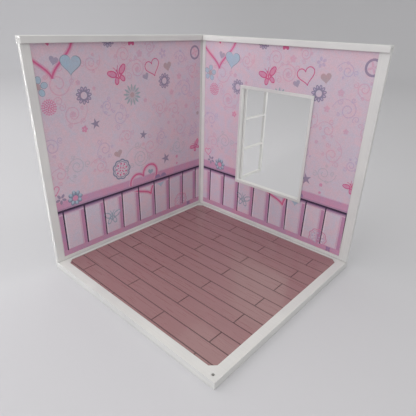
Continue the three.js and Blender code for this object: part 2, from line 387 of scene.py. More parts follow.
@dataclass(frozen=True)
class PrintedPaper:
    """Uncoated paper printed in pinks and lilacs.

    To the eye the inks are matt and slightly uneven: the pale ground drifts between pink and
    grey-lilac in soft clouds, and the paper's tooth breaks the ink up very finely.
    """

    cool: str = "#F0F0F9"
    warm: str = "#FFEAF0"
    cloud_mm: float = 17.0
    wisp_mm: float = 4.5
    tooth_mm: float = 0.9  # real tooth is near 0.1 mm, drawn coarser so that it shows
    wisp_share: float = 0.35
    bump_mm: float = 0.06
    bump_strength: float = 0.15
    roughness: float = 0.82
    ior: float = 1.45

    def make(self) -> bpy.types.Material:
        """Builds the material.

        Returns:
            The finished material.
        """
        material, tree = new_material("Uncoated_paper_inkjet_printed")
        place = add_node(tree, "ShaderNodeTexCoord").outputs["Object"]
        ink = add_node(tree, "ShaderNodeAttribute", {"attribute_name": PaperedWall.INK})
        cloud = add_node(
            tree, "ShaderNodeTexNoise", None,
            {
                "Vector": place, "Scale": 1 / (self.cloud_mm * MM), "Detail": 3.0, "Roughness": 0.55,
                "Distortion": 1.2,
            },
        )
        wisp = add_node(
            tree, "ShaderNodeTexNoise", None,
            {
                "Vector": place, "Scale": 1 / (self.wisp_mm * MM), "Detail": 2.0, "Roughness": 0.5,
                "Distortion": 2.0,
            },
        )
        tooth = add_node(
            tree, "ShaderNodeTexNoise", None,
            {"Vector": place, "Scale": 1 / (self.tooth_mm * MM), "Detail": 2.0},
        )
        clouded = add_node(
            tree, "ShaderNodeMix", {"data_type": "FLOAT"},
            {"Factor": self.wisp_share, 2: cloud.outputs["Fac"], 3: wisp.outputs["Fac"]},
        )
        tint = set_ramp(
            add_node(tree, "ShaderNodeValToRGB", None, {"Fac": clouded.outputs[0]}),
            [(0.36, self.cool), (0.62, self.warm)],
        )
        tinted = add_node(
            tree, "ShaderNodeMix", {"data_type": "RGBA", "blend_type": "MULTIPLY"},
            {"Factor": 1.0, 6: ink.outputs["Color"], 7: tint.outputs["Color"]},
        )
        fine = set_ramp(
            add_node(tree, "ShaderNodeValToRGB", None, {"Fac": tooth.outputs["Fac"]}),
            [(NOISE_SPAN[0], "#F2F2F2"), (NOISE_SPAN[1], "#FFFFFF")],
        )
        colour = add_node(
            tree, "ShaderNodeMix", {"data_type": "RGBA", "blend_type": "MULTIPLY"},
            {"Factor": 1.0, 6: tinted.outputs[2], 7: fine.outputs["Color"]},
        )
        bump = add_node(
            tree, "ShaderNodeBump", None,
            {
                "Height": tooth.outputs["Fac"], "Strength": self.bump_strength,
                "Distance": self.bump_mm * MM,
            },
        )
        shader = add_node(
            tree, "ShaderNodeBsdfPrincipled", None,
            {
                "Base Color": colour.outputs[2], "Roughness": self.roughness, "Normal": bump.outputs[0],
                "IOR": self.ior,
            },
        )
        add_node(tree, "ShaderNodeOutputMaterial", None, {"Surface": shader.outputs[0]})
        return material


@dataclass(frozen=True)
class DrawnWire:
    """Steel wire drawn through a die.

    To the eye it is a grey metal with fine bright lines along it.
    """

    colour: str = "#B4B6B8"
    dull: str = "#8E9092"
    line_mm: float = 0.12
    line_scale: float = 0.04  # the pattern's scale along a line, as a share of that across it
    bump_mm: float = 0.02
    bump_strength: float = 0.2
    roughness: tuple[float, float] = (0.28, 0.45)

    def make(self) -> bpy.types.Material:
        """Builds the material.

        Returns:
            The finished material.
        """
        material, tree = new_material("Steel_drawn_wire")
        place = add_node(tree, "ShaderNodeTexCoord").outputs["Object"]
        across = 1 / (self.line_mm * MM)
        drawn = add_node(
            tree, "ShaderNodeMapping", None,
            {"Vector": place, "Scale": (across, across, across * self.line_scale)},
        )
        lines = add_node(
            tree, "ShaderNodeTexNoise", None, {"Vector": drawn.outputs[0], "Scale": 1.0, "Detail": 2.0}
        )
        colour = set_ramp(
            add_node(tree, "ShaderNodeValToRGB", None, {"Fac": lines.outputs["Fac"]}),
            [(0.35, self.dull), (0.65, self.colour)],
        )
        gloss = add_node(
            tree, "ShaderNodeMapRange", None,
            {"Value": lines.outputs["Fac"], "To Min": self.roughness[0], "To Max": self.roughness[1]},
        )
        bump = add_node(
            tree, "ShaderNodeBump", None,
            {
                "Height": lines.outputs["Fac"], "Strength": self.bump_strength,
                "Distance": self.bump_mm * MM,
            },
        )
        shader = add_node(
            tree, "ShaderNodeBsdfPrincipled", None,
            {
                "Base Color": colour.outputs["Color"], "Metallic": 1.0, "Roughness": gloss.outputs[0],
                "Normal": bump.outputs[0],
            },
        )
        add_node(tree, "ShaderNodeOutputMaterial", None, {"Surface": shader.outputs[0]})
        return material


@dataclass(frozen=True)
class StudioPaper:
    """Pale grey matt paper of the studio floor, painted darker towards the back right as painted shade of
    light falling off there.
    """

    near: str = "#DDDDE1"
    far_shade: str = "#CACACD"
    near_m: float = -0.6
    far_m: float = 0.9
    towards: tuple[float, float, float] = (0.6, 0.8, 0.0)
    roughness: float = 0.9
    specular: float = 0.2

    def make(self) -> bpy.types.Material:
        """Builds the material.

        Returns:
            The finished material.
        """
        material, tree = new_material("Studio_paper_matt")
        place = add_node(tree, "ShaderNodeTexCoord").outputs["Object"]
        reach = add_node(
            tree, "ShaderNodeVectorMath", {"operation": "DOT_PRODUCT"}, {0: place, 1: self.towards}
        )
        share = add_node(
            tree, "ShaderNodeMapRange", {"interpolation_type": "SMOOTHSTEP"},
            {"Value": reach.outputs["Value"], "From Min": self.near_m, "From Max": self.far_m},
        )
        # Painted shade: the paper's colour darkens towards the back right.
        colour = set_ramp(
            add_node(tree, "ShaderNodeValToRGB", None, {"Fac": share.outputs[0]}),
            [(0.0, self.near), (1.0, self.far_shade)],
        )
        shader = add_node(
            tree, "ShaderNodeBsdfPrincipled", None,
            {
                "Base Color": colour.outputs[0], "Roughness": self.roughness,
                "Specular IOR Level": self.specular,
            },
        )
        add_node(tree, "ShaderNodeOutputMaterial", None, {"Surface": shader.outputs[0]})
        return material


# ---- White printed parts ---------------------------------------------------------------------


@dataclass
class PrintedPart:
    """A white printed part with the CAD shape and softly rounded edges."""

    node: str
    body: str
    run: LineRun
    edge_mm: float
    sharp_degrees: float = 25.0
    flat_degrees: float = 0.5
    steps: int = 3
    roundness: float = 0.5
    weld_mm: float = 0.001

    def build(self) -> bpy.types.Mesh:
        """Copies the CAD shape, joins its flat faces and rounds its edges.

        Returns:
            The finished mesh.
        """
        shape = bmesh.new()
        shape.from_mesh(bpy.data.objects[self.node].data)
        bmesh.ops.remove_doubles(shape, verts=shape.verts, dist=self.weld_mm * MM)
        bmesh.ops.dissolve_limit(
            shape, angle_limit=math.radians(self.flat_degrees), verts=shape.verts, edges=shape.edges
        )
        limit = math.radians(self.sharp_degrees)
        corners = [e for e in shape.edges if e.is_manifold and e.calc_face_angle(0.0) > limit]
        bmesh.ops.bevel(
            shape,
            geom=corners,
            offset=self.edge_mm * MM,
            segments=self.steps,
            profile=self.roundness,
            affect="EDGES",
            clamp_overlap=True,
        )
        mesh = bpy.data.meshes.new(self.node)
        shape.to_mesh(mesh)
        shape.free()
        return mesh

    def dress(self, plastics: dict[LineRun, bpy.types.Material]) -> bpy.types.Object:
        """Makes the finished piece in white plastic.

        Args:
            plastics: The plastic for each run of the printer's lines.

        Returns:
            The finished piece.
        """
        piece = add_object(f"printed_{self.node}", self.build(), plastics[self.run], SMOOTH_DEGREES)
        piece.modifiers.new("even_shading", "WEIGHTED_NORMAL").keep_sharp = True
        hand_over(piece, self.body, [self.node])
        return piece


# ---- Plank floor -----------------------------------------------------------------------------


@dataclass
class PlankFloor:
    """The floor board, scored into rows of planks that break joint from row to row."""

    TONE: ClassVar[str] = "plank_tone"
    SCORE: ClassVar[str] = "score_line"

    node: str = "floor_panel"
    body: str = "box"
    plank_width_mm: float = 14.17
    plank_length_mm: float = 98.8
    first_joint_mm: float = 23.2
    groove_mm: float = 0.8
    groove_depth_mm: float = 0.35
    corner_cut_mm: float = 4.5
    edge_mm: float = 0.15
    roundness: float = 0.6
    level: float = 0.9  # a face that points up at least this much is a plank's top
    side_score: float = 0.7  # how dark a plank's sides are, as a share of the scored line
    seed: int = 14

    def outline(self, low: Vector, high: Vector) -> Outline:
        """Gives the board's outline, a rectangle with its corners cut off.

        Args:
            low: The board's lowest corner.
            high: The board's highest corner.

        Returns:
            Corners, anticlockwise from above.
        """
        cut = self.corner_cut_mm * MM
        return [
            (low.x + cut, low.y),
            (high.x - cut, low.y),
            (high.x, low.y + cut),
            (high.x, high.y - cut),
            (high.x - cut, high.y),
            (low.x + cut, high.y),
            (low.x, high.y - cut),
            (low.x, low.y + cut),
        ]

    def planks(self, low: Vector, high: Vector) -> list[Outline]:
        """Gives each plank's outline, cut to the board.

        Args:
            low: The board's lowest corner.
            high: The board's highest corner.

        Returns:
            One outline for each plank.
        """
        width, length = self.plank_width_mm * MM, self.plank_length_mm * MM
        gap = self.groove_mm * MM / 2
        edge = self.outline(low, high)
        found = []
        for row in range(math.ceil((high.y - low.y) / width)):
            back = high.y - row * width - (gap if row else 0.0)
            front = high.y - (row + 1) * width + gap
            front = max(front, low.y)
            joint = low.x + self.first_joint_mm * MM + (row % 2) * length / 2 - length
            while joint < high.x:
                left = joint + gap if joint > low.x else low.x
                right = joint + length - gap if joint + length < high.x else high.x
                if right > left and back - front > gap:
                    plank = [(left, front), (right, front), (right, back), (left, back)]
                    found.append(cut_outline(plank, edge))
                joint += length
        return [p for p in found if len(p) > 2]

    def build(self) -> bpy.types.Mesh:
        """Builds the board with its planks standing between the scored lines.

        Returns:
            The finished mesh, with a tone and a score mark for each face.
        """
        low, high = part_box(self.node)
        shape = bmesh.new()
        tone = shape.faces.layers.float.new(self.TONE)
        score = shape.faces.layers.float.new(self.SCORE)
        groove_floor = high.z - self.groove_depth_mm * MM
        for face in prism(shape, self.outline(low, high), low.z, groove_floor):
            face[score] = 1.0
        chance = random.Random(self.seed)
        for plank in self.planks(low, high):
            value = chance.random()
            faces = prism(shape, plank, groove_floor - self.edge_mm * MM, high.z)
            top = list(faces[0].edges)
            made = bmesh.ops.bevel(
                shape,
                geom=top,
                offset=self.edge_mm * MM,
                segments=2,
                profile=self.roundness,
                affect="EDGES",
            )
            for face in {*(f for f in faces if f.is_valid), *made["faces"]}:
                face[tone] = value
                face[score] = 0.0 if face.normal.z > self.level else self.side_score
        mesh = bpy.data.meshes.new(self.node)
        shape.normal_update()
        shape.to_mesh(mesh)
        shape.free()
        return mesh

    def dress(self, board: bpy.types.Material) -> bpy.types.Object:
        """Makes the finished floor.

        Args:
            board: The painted board's material.

        Returns:
            The finished piece.
        """
        piece = add_object("scored_plank_floor", self.build(), board)
        hand_over(piece, self.body, [self.node])
        return piece


def cut_outline(outline: Outline, edge: Outline) -> Outline:
    """Cuts one convex outline to another.

    Args:
        outline: The outline to cut.
        edge: The outline to keep inside, anticlockwise.

    Returns:
        What is left, which may be empty.
    """
    for (ax, ay), (bx, by) in zip(edge, edge[1:] + edge[:1]):
        kept: Outline = []
        sides = [(bx - ax) * (y - ay) - (by - ay) * (x - ax) for x, y in outline]
        for i, (here, side) in enumerate(zip(outline, sides)):
            before, was = outline[i - 1], sides[i - 1]
            if side * was < 0:
                share = was / (was - side)
                kept.append(tuple(b + (h - b) * share for b, h in zip(before, here)))
            if side >= 0:
                kept.append(here)
        outline = kept
    return outline


def prism(
    shape: bmesh.types.BMesh, outline: Outline, low: float, high: float
) -> list[bmesh.types.BMFace]:
    """Adds an upright prism.

    Args:
        shape: The mesh to add to.
        outline: Its corners, anticlockwise from above.
        low: The height of its underside.
        high: The height of its top.

    Returns:
        Its faces, the top one first.
    """
    under = [shape.verts.new((x, y, low)) for x, y in outline]
    over = [shape.verts.new((x, y, high)) for x, y in outline]
    faces = [shape.faces.new(over), shape.faces.new(under[::-1])]
    for i, (a, b) in enumerate(zip(under, under[1:] + under[:1])):
        faces.append(shape.faces.new((a, b, over[(i + 1) % len(over)], over[i])))
    for face in faces:
        face.normal_update()
    return faces


# ---- Wallpaper artwork -----------------------------------------------------------------------


class Ink(Enum):
    """Inks of the printed paper, as they look on the sheet."""

    PLAIN = "#E9E5E4"
    GROUND = "#E2D6DE"
    BOARD = "#E3DBE3"
    BOARD_LIGHT = "#EEE9EE"
    STRIP = "#CB9BBB"
    STRIP_FADE = "#DDC6D6"
    BAND = "#D7AAC4"
    BAND_DARK = "#D1AAC5"
    LINE = "#453850"
    LINE_SHADOW = "#8D7094"
    LINE_FADE = "#BD9DB8"
    PINK = "#DC6F9B"
    PINK_SOFT = "#E3A3BF"
    PINK_FAINT = "#E0C0D0"
    BLUE = "#B8D4E0"
    BLUE_EDGE = "#96A8B5"
    BLUE_ON_BAND = "#A58FB4"
    TEAL = "#A6BAC6"
    SLATE = "#8F9CAE"
    GREY = "#A69DB3"
    GREY_SOFT = "#B9B1C2"
    GREY_DARK = "#A09AAF"
    MINT = "#A9BFC2"
    TAN = "#C8B4B6"
    LILAC_FAINT = "#D2C3D8"
    GREEN_FAINT = "#CFCBD2"


@dataclass
class Artwork:
    """Flat artwork in millimetres, painted in order.

    Across runs along the print and up runs from the floor. Each shape is an outline or a row of
    small outlines, and what is painted later covers what is under it.
    """

    SHORTEST: ClassVar[float] = 0.02  # shorter steps of a line are skipped
    LAP: ClassVar[float] = 0.12  # how far a line's steps overlap, as a share of its width

    shapes: list[tuple[Outline, Ink]] = field(default_factory=list)

    def fill(self, outline: Outline, ink: Ink) -> None:
        """Paints one outline, turned to run anticlockwise.

        Args:
            outline: Its corners.
            ink: Its ink.
        """
        ahead = outline[1:] + outline[:1]
        area = sum(x0 * y1 - x1 * y0 for (x0, y0), (x1, y1) in zip(outline, ahead))
        self.shapes.append((outline if area > 0 else outline[::-1], ink))

    def box(self, left: float, right: float, low: float, high: float, ink: Ink) -> None:
        """Paints an upright rectangle."""
        self.fill([(left, low), (right, low), (right, high), (left, high)], ink)

    def stroke(self, path: Outline, width: float, ink: Ink, closed: bool = False) -> None:
        """Paints a line of even width along a path.

        Args:
            path: Points along its middle.
            width: Its width.
            ink: Its ink.
            closed: Whether it runs back to its start.
        """
        ends = list(zip(path, path[1:] + path[:1]))
        for (ax, ay), (bx, by) in ends if closed else ends[:-1]:
            reach = math.hypot(bx - ax, by - ay)
            if reach < self.SHORTEST:
                continue
            ux, uy = (bx - ax) / reach, (by - ay) / reach
            ax, ay = ax - ux * self.LAP * width, ay - uy * self.LAP * width
            bx, by = bx + ux * self.LAP * width, by + uy * self.LAP * width
            dx, dy = -uy * width / 2, ux * width / 2
            near = [(ax - dx, ay - dy), (bx - dx, by - dy)]
            self.fill([*near, (bx + dx, by + dy), (ax + dx, ay + dy)], ink)

    def disc(self, centre: Point, radius: float, ink: Ink, corners: int = 18) -> None:
        """Paints a disc."""
        self.fill(oval(centre, radius, radius, 0.0, corners), ink)

    def heart(self, centre: Point, width: float, height: float, turn: float, ink: Ink) -> None:
        """Paints a filled heart."""
        self.fill(heart_outline(centre, width, height, turn), ink)

    def heart_line(
        self, centre: Point, width: float, height: float, turn: float, line: float, ink: Ink
    ) -> None:
        """Paints the outline of a heart."""
        self.stroke(heart_outline(centre, width, height, turn), line, ink, closed=True)

    def petals(
        self, centre: Point, reach: float, long: float, wide: float, count: int, turn: float, ink: Ink
    ) -> None:
        """Paints petals round a point.

        Args:
            centre: The flower's middle.
            reach: From the middle to the middle of each petal.
            long: Half of a petal's length.
            wide: Half of a petal's width.
            count: The number of petals.
            turn: The first petal's direction in degrees.
            ink: Their ink.
        """
        for i in range(count):
            angle = turn + i * 360 / count
            a = math.radians(angle)
            middle = (centre[0] + reach * math.cos(a), centre[1] + reach * math.sin(a))
            self.fill(oval(middle, long, wide, angle, 14), ink)

    def dots(
        self, centre: Point, reach: float, radius: float, count: int, turn: float, ink: Ink
    ) -> None:
        """Paints a ring of dots."""
        self.petals(centre, reach, radius, radius, count, turn, ink)

    def star(self, centre: Point, radius: float, turn: float, ink: Ink) -> None:
        """Paints a five-pointed star.

        Args:
            centre: Its middle.
            radius: From the middle to each point.
            turn: How far it leans, anticlockwise in degrees.
            ink: Its ink.
        """
        outline = []
        for i in range(10):
            a = math.radians(turn + 90 + i * 36)
            reach = radius if i % 2 == 0 else radius * 0.37
            outline.append((centre[0] + reach * math.cos(a), centre[1] + reach * math.sin(a)))
        self.fill(outline, ink)

    def butterfly(self, centre: Point, size: float, turn: float, edge: Ink, ink: Ink) -> None:
        """Paints a butterfly seen from above.

        Args:
            centre: Its middle.
            size: Across its upper wings.
            turn: How far it leans, anticlockwise in degrees.
            edge: The ink of its body and of the wings' edges.
            ink: The ink inside the wings.
        """
        for share, tone in ((1.0, edge), (0.66, ink)):
            for side in (-1, 1):
                upper = turned((side * 0.27 * size, 0.11 * size), centre, turn)
                tip = turned((side * 0.40 * size, 0.20 * size), centre, turn)
                lower = turned((side * 0.16 * size, -0.23 * size), centre, turn)
                lean = turn + side * 34
                self.fill(oval(upper, 0.25 * share * size, 0.15 * share * size, lean, 20), tone)
                self.fill(oval(tip, 0.12 * share * size, 0.11 * share * size, lean, 14), tone)
                lean = turn - side * 64
                self.fill(oval(lower, 0.18 * share * size, 0.12 * share * size, lean, 16), tone)
        for side in (-1, 1):
            feeler = [
                turned((side * 0.02 * size, 0.12 * size), centre, turn),
                turned((side * 0.07 * size, 0.26 * size), centre, turn),
                turned((side * 0.13 * size, 0.36 * size), centre, turn),
            ]
            self.stroke(feeler, 0.03 * size, edge)
        self.fill(oval(centre, 0.24 * size, 0.035 * size, turn + 90, 14), edge)

    def swirl(
        self, centre: Point, radius: float, turns: float, line: float, start: float, ink: Ink
    ) -> None:
        """Paints a spiral line.

        Args:
            centre: Its middle.
            radius: How far it reaches.
            turns: How many times it goes round.
            line: The line's width.
            start: Its first direction in degrees.
            ink: Its ink.
        """
        steps = int(20 * turns)
        path = []
        for i in range(steps + 1):
            share = i / steps
            a = math.radians(start) + share * turns * math.tau
            reach = radius * (0.22 + 0.78 * share)
            path.append((centre[0] + reach * math.cos(a), centre[1] + reach * math.sin(a)))
        self.stroke(path, line, ink)

    def scroll(
        self, centre: Point, radius: float, turns: float, line: float, start: float, ink: Ink
    ) -> None:
        """Paints a spiral with small curls and a tendril springing from it.

        Args:
            centre: The spiral's middle.
            radius: How far the spiral reaches.
            turns: How many times it goes round.
            line: The spiral's line width.
            start: Its first direction in degrees.
            ink: Its ink.
        """
        self.swirl(centre, radius, turns, line, start, ink)
        for lean, share in ((62, 0.42), (-118, 0.34), (168, 0.26), (-52, 0.22)):
            a = math.radians(start + lean)
            reach = radius * (1.06 + 0.8 * share)
            bud = (centre[0] + reach * math.cos(a), centre[1] + reach * math.sin(a))
            self.swirl(bud, radius * share, 1.25, line * 0.8, start + lean + 180, ink)
        tendril = []
        for i in range(15):
            share = i / 14
            a = math.radians(start + turns * 360 + 95 * share)
            reach = radius * (1.0 + 0.85 * share)
            tendril.append((centre[0] + reach * math.cos(a), centre[1] + reach * math.sin(a)))
        self.stroke(tendril, line * 0.7, ink)

    def daisy(self, centre: Point, radius: float, turn: float, ink: Ink, light: Ink) -> None:
        """Paints a ring of petals with light middles round an open centre.

        Args:
            centre: Its middle.
            radius: How far its petals reach.
            turn: The first petal's direction in degrees.
            ink: The ink of the petals and the ring.
            light: The ink of the petals' middles.
        """
        self.petals(centre, radius * 0.69, radius * 0.31, radius * 0.2, 11, turn, ink)
        self.stroke(oval(centre, radius * 0.47, radius * 0.47, 0.0, 22), radius * 0.16, ink, closed=True)
        self.petals(centre, radius * 0.73, radius * 0.15, radius * 0.075, 11, turn, light)

    def burst(self, centre: Point, radius: float, turn: float, ink: Ink, light: Ink, eye: Ink) -> None:
        """Paints a flower of thin rays, every second ray shorter and lighter.

        Args:
            centre: Its middle.
            radius: How far its long rays reach.
            turn: The first ray's direction in degrees.
            ink: The long rays' ink.
            light: The short rays' ink.
            eye: The ink of its middle.
        """
        self.petals(centre, radius * 0.66, radius * 0.34, radius * 0.09, 13, turn, ink)
        self.petals(centre, radius * 0.5, radius * 0.28, radius * 0.075, 13, turn + 180 / 13, light)
        self.disc(centre, radius * 0.27, eye)
        self.dots(centre, radius * 0.27, radius * 0.06, 8, turn, light)

    def pompom(self, centre: Point, radius: float, ink: Ink, soft: Ink, light: Ink) -> None:
        """Paints a round flower made of rings of small dots.

        Args:
            centre: Its middle.
            radius: How far it reaches.
            ink: The dark dots' ink.
            soft: The ink of its ground.
            light: The light dots' ink.
        """
        self.disc(centre, radius * 0.84, soft)
        self.dots(centre, radius * 0.9, radius * 0.13, 18, 0, soft)
        for share, count in ((0.72, 16), (0.44, 10), (0.18, 4)):
            self.dots(centre, radius * share, radius * 0.1, count, 11, light)
            self.dots(centre, radius * (share - 0.05), radius * 0.065, count, 11 + 180 / count, ink)

    def doily(self, centre: Point, radius: float, line: float, ink: Ink, dot: Ink) -> None:
        """Paints a scalloped double ring with rings of dots inside.

        Args:
            centre: Its middle.
            radius: How far its scallops reach.
            line: The outer ring's line width.
            ink: The rings' ink.
            dot: The ink of most of the dots.
        """
        for share, width in ((1.0, line), (0.8, line * 0.45)):
            edge = []
            for i in range(72):
                a = i * math.tau / 72
                reach = share * radius * (0.86 + 0.12 * abs(math.cos(4.5 * a)))
                edge.append((centre[0] + reach * math.cos(a), centre[1] + reach * math.sin(a)))
            self.stroke(edge, width, ink, closed=True)
        self.dots(centre, radius * 0.56, radius * 0.095, 9, 12, dot)
        self.dots(centre, radius * 0.36, radius * 0.055, 7, 0, ink)
        self.dots(centre, radius * 0.2, radius * 0.08, 4, 30, dot)


def turned(offset: Point, centre: Point, degrees: float) -> Point:
    """Turns an offset anticlockwise about a centre.

    Args:
        offset: The way from the centre to the point.
        centre: The centre.
        degrees: How far to turn.

    Returns:
        Where the point ends.
    """
    a = math.radians(degrees)
    x, y = offset
    return (
        centre[0] + x * math.cos(a) - y * math.sin(a),
        centre[1] + x * math.sin(a) + y * math.cos(a),
    )


def oval(centre: Point, long: float, wide: float, turn: float, corners: int) -> Outline:
    """Gives an ellipse's outline.

    Args:
        centre: Its middle.
        long: Half of its length.
        wide: Half of its width.
        turn: The direction of its length in degrees.
        corners: How many corners it has.

    Returns:
        Its corners, anticlockwise.
    """
    steps = [i * math.tau / corners for i in range(corners)]
    return [turned((long * math.cos(s), wide * math.sin(s)), centre, turn) for s in steps]


HEART_LIFT = 2.55  # centres the curve below in its box
HEART_HEIGHT = 28.9  # the curve's height


def heart_outline(centre: Point, width: float, height: float, turn: float, corners: int = 44) -> Outline:
    """Gives a heart's outline.

    Args:
        centre: The middle of its box.
        width: Its width.
        height: Its height.
        turn: How far it leans, anticlockwise in degrees.
        corners: How many corners it has.

    Returns:
        Its corners.
    """
    outline = []
    for i in range(corners):
        s = i * math.tau / corners
        x = math.sin(s) ** 3 / 2
        y = 13 * math.cos(s) - 5 * math.cos(2 * s) - 2 * math.cos(3 * s) - math.cos(4 * s)
        y = (y + HEART_LIFT) / HEART_HEIGHT
        outline.append(turned((x * width, y * height), centre, turn))
    return outline


@dataclass
class DressingUpPrint:
    """The printed pattern: hearts, flowers and butterflies over a boarded dado."""

    width_mm: float = 206.0
    height_mm: float = 198.0
    skirting_top_mm: float = 9.7
    boards_top_mm: float = 49.9
    rail_line_mm: float = 2.0
    band_top_mm: float = 60.4
    first_board_mm: float = 16.55
    board_pitch_mm: float = 22.09
    board_line_mm: float = 1.5
    strip_mm: float = 3.4
    fade_mm: float = 1.8
    board_light_mm: float = 1.4
    band_fade_mm: float = 1.0
    skirting_line_mm: Point = (5.0, 6.1)
    line_drop_mm: float = 0.8  # how far a board's line runs down into the skirting
    line_widths: Point = (0.85, 1.15)
    foot_widths: Point = (0.6, 0.85)
    line_lean_mm: float = 0.35
    rail_fade_mm: float = 1.6
    seed: int = 5

    def draw(self) -> Artwork:
        """Draws the whole pattern.

        Returns:
            The artwork, in paint order.
        """
        art = Artwork()
        self.draw_ground(art)
        self.draw_swirls(art)
        self.draw_hearts(art)
        self.draw_flowers(art)
        self.draw_butterflies(art)
        self.draw_lines(art)
        return art

    def board_lines(self) -> list[float]:
        """Gives where the dark lines between boards stand."""
        count = int((self.width_mm - self.first_board_mm) / self.board_pitch_mm) + 1
        return [self.first_board_mm + i * self.board_pitch_mm for i in range(count)]

    def draw_ground(self, art: Artwork) -> None:
        """Draws the plain ground, the boards, and the bands above and below them.

        Args:
            art: The artwork to paint on.
        """
        art.box(0, self.width_mm, 0, self.height_mm, Ink.GROUND)
        low, high = self.skirting_top_mm, self.boards_top_mm
        art.box(0, self.width_mm, low, high, Ink.BOARD)
        for line in self.board_lines():
            left = line - self.board_line_mm / 2
            strip = left - self.strip_mm
            art.box(strip - self.fade_mm, strip, low, high, Ink.STRIP_FADE)
            art.box(strip, left, low, high, Ink.STRIP)
            light = line + self.board_line_mm / 2
            art.box(light, light + self.board_light_mm, low, high, Ink.BOARD_LIGHT)
        band = high + self.rail_line_mm
        art.box(0, self.width_mm, band, self.band_top_mm, Ink.BAND)
        art.box(0, self.width_mm, self.band_top_mm, self.band_top_mm + self.band_fade_mm, Ink.STRIP_FADE)
        art.box(0, self.width_mm, 0, low, Ink.BAND)
        art.box(0, self.width_mm, *self.skirting_line_mm, Ink.BAND_DARK)

    def draw_swirls(self, art: Artwork) -> None:
        """Draws the faint rings, curls and blots in the ground.

        Args:
            art: The artwork to paint on.
        """
        for centre, radius, turns, line, start, ink in (
            ((30, 163), 10.0, 1.4, 1.0, 200, Ink.PINK_FAINT),
            ((40, 137), 8.5, 1.6, 0.95, 80, Ink.PINK_FAINT),
            ((97, 183.5), 7.5, 1.5, 0.9, 20, Ink.PINK_FAINT),
            ((112, 170.5), 8.5, 1.9, 1.0, 150, Ink.PINK_FAINT),
            ((168, 104), 7.5, 1.3, 0.9, 240, Ink.PINK_FAINT),
            ((187, 165), 6.0, 1.4, 0.9, 100, Ink.PINK_FAINT),
            ((37, 90), 8.0, 1.6, 0.9, 300, Ink.GREEN_FAINT),
            ((110, 82), 10.5, 2.1, 1.0, 40, Ink.GREEN_FAINT),
            ((124, 92), 8.5, 1.3, 0.9, 210, Ink.PINK_FAINT),
            ((20, 86), 6.5, 1.3, 0.9, 20, Ink.PINK_FAINT),
            ((163, 84), 7.0, 1.4, 0.9, 130, Ink.GREEN_FAINT),
            ((176, 146), 8.0, 1.5, 0.9, 260, Ink.LILAC_FAINT),
            ((16, 112), 7.0, 1.4, 0.9, 330, Ink.LILAC_FAINT),
            ((68, 100), 7.0, 1.3, 0.9, 60, Ink.LILAC_FAINT),
            ((160, 126), 6.0, 1.2, 0.9, 10, Ink.PINK_FAINT),
            ((88, 128), 7.5, 1.5, 0.9, 190, Ink.LILAC_FAINT),
            ((62, 178), 6.0, 1.5, 0.9, 120, Ink.PINK_FAINT),
            ((140, 100), 5.5, 1.4, 0.9, 30, Ink.LILAC_FAINT),
            ((196, 130), 6.0, 1.6, 0.9, 80, Ink.PINK_FAINT),
            ((62, 84), 6.5, 1.5, 0.9, 250, Ink.PINK_FAINT),
            ((95, 108), 5.5, 1.4, 0.9, 320, Ink.PINK_FAINT),
            ((188, 98), 5.0, 1.5, 0.9, 160, Ink.LILAC_FAINT),
            ((139, 130), 6.5, 1.6, 0.9, 100, Ink.PINK_FAINT),
            ((75, 140), 5.0, 1.5, 0.9, 10, Ink.LILAC_FAINT),
            ((170, 178), 5.5, 1.4, 0.9, 290, Ink.LILAC_FAINT),
            ((128, 189), 5.0, 1.5, 0.9, 200, Ink.PINK_FAINT),
        ):
            art.scroll(centre, radius, turns, line, start, ink)
        for centre, radius, ink in (
            ((40, 137), 2.8, Ink.PINK_FAINT),
            ((115.5, 184), 3.4, Ink.PINK_FAINT),
            ((112, 170.5), 2.2, Ink.PINK_FAINT),
            ((48, 163), 2.4, Ink.PINK_FAINT),
            ((167, 160), 3.2, Ink.PINK_FAINT),
            ((156, 144.5), 3.0, Ink.PINK_FAINT),
            ((177.5, 127.5), 2.6, Ink.PINK_FAINT),
            ((150.5, 113), 2.0, Ink.PINK_FAINT),
            ((162, 72), 1.9, Ink.PINK_SOFT),
            ((162, 63.8), 1.5, Ink.PINK_SOFT),
            ((120, 140), 2.4, Ink.PINK_FAINT),
            ((63, 157), 1.8, Ink.PINK_FAINT),
            ((196, 117), 2.2, Ink.TAN),
        ):
            art.petals(centre, radius * 0.55, radius * 0.5, radius * 0.42, 5, 18, ink)

    def draw_hearts(self, art: Artwork) -> None:
        """Draws the hearts, the largest first.

        Args:
            art: The artwork to paint on.
        """
        for centre, wide, tall, lean in (((24.5, 188.5), 46, 41, 3), ((116.0, 52.3), 38, 33, 22)):
            for line, ink in ((4.4, Ink.PINK_FAINT), (2.7, Ink.PINK_SOFT), (1.3, Ink.PINK)):
                art.heart_line(centre, wide, tall, lean, line, ink)
        art.heart((28.6, 181), 8.2, 7.2, -18, Ink.GREY_SOFT)
        art.heart((25.7, 194), 3.6, 4.2, 10, Ink.PINK)
        art.heart((43.2, 176.8), 19.6, 16.6, -6, Ink.BLUE_EDGE)
        art.heart((43.1, 177.0), 18.2, 15.3, -6, Ink.BLUE)
        art.heart_line((131.3, 169.8), 18.0, 15.6, 17, 0.9, Ink.PINK)
        art.heart((122.4, 162.2), 7.4, 6.8, 24, Ink.GREY_SOFT)
        art.heart((151.0, 170), 10.4, 9.4, 10, Ink.TAN)
        art.heart((83.0, 91.5), 9.6, 8.0, 14, Ink.TAN)
        art.heart((122.4, 63), 7.2, 6.2, -10, Ink.TEAL)
        art.heart((136.6, 49.0), 17.4, 17.0, 0, Ink.BLUE_ON_BAND)
        art.heart((136.6, 46.8), 13.0, 12.0, 0, Ink.BLUE)
        art.heart_line((12.2, 71.6), 9.6, 8.6, 8, 1.1, Ink.PINK_SOFT)

